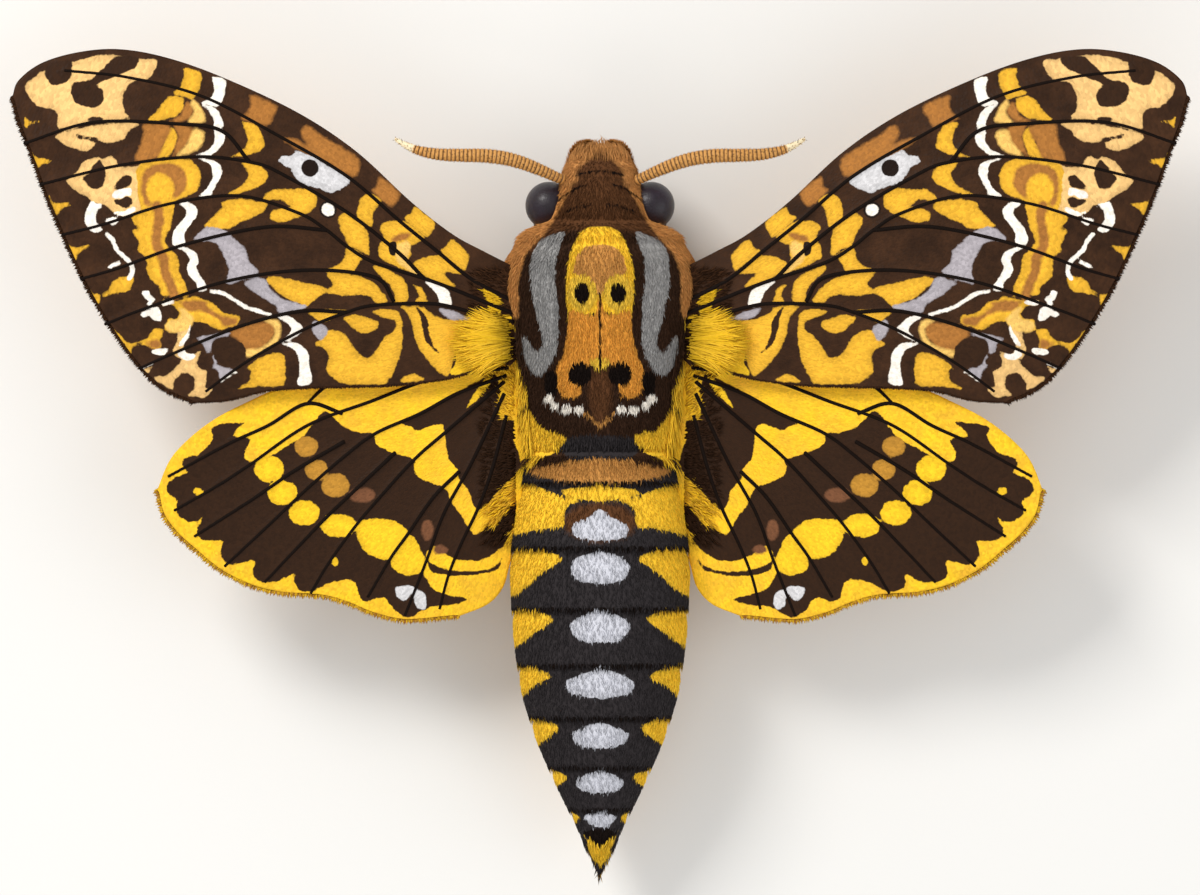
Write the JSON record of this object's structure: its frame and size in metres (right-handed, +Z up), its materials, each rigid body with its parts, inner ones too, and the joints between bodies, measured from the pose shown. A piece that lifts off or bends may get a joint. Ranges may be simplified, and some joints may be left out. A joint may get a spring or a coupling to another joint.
{
  "type": "greater deaths head hawkmoth",
  "caption": "Life-size hawkmoth standing on its jointed legs with the wings spread flat, a tapered ringed abdomen, hooked antennae and a coiled tongue.",
  "frame": {"origin": "on the floor that the moth stands on, under the middle of its outline seen from above", "axes": "+X towards the moth's left, -Y towards its head, +Z up"},
  "size_m": [0.1172, 0.0827, 0.019],
  "materials": {
    "brown_fur": "short dense brown fur",
    "dark_fur": "velvety dark brown fur",
    "abdomen": "smooth close scales with a satin sheen",
    "proboscis": "bare brown skin, slightly shiny",
    "eye": "glossy and faceted",
    "antenna": "matte, ringed",
    "forewing": "powdery scales in a mottled pattern",
    "hindwing": "powdery scales, yellow with brown bands",
    "leg": "close scales and short hair",
    "yellow_tuft": "long yellow hair scales"
  },
  "bodies": {
    "root": {"head": "brown_fur", "thorax": "dark_fur", "abdomen": "abdomen", "proboscis": "proboscis", "eye_left": "eye", "antenna_left": "antenna", "palp_left": "brown_fur", "forewing_left": "forewing", "hindwing_left": "hindwing", "foreleg_left_femur": "leg", "foreleg_left_tibia": "leg", "foreleg_left_tarsus": "leg", "midleg_left_femur": "leg", "midleg_left_tibia": "leg", "midleg_left_tarsus": "leg", "hindleg_left_femur": "leg", "hindleg_left_tibia": "leg", "hindleg_left_tarsus": "leg", "eye_right": "eye", "antenna_right": "antenna", "palp_right": "brown_fur", "forewing_right": "forewing", "hindwing_right": "hindwing", "foreleg_right_femur": "leg", "foreleg_right_tibia": "leg", "foreleg_right_tarsus": "leg", "midleg_right_femur": "leg", "midleg_right_tibia": "leg", "midleg_right_tarsus": "leg", "hindleg_right_femur": "leg", "hindleg_right_tibia": "leg", "hindleg_right_tarsus": "leg", "wing_tuft_left": "yellow_tuft", "wing_tuft_right": "yellow_tuft"}
  },
  "joints": []
}
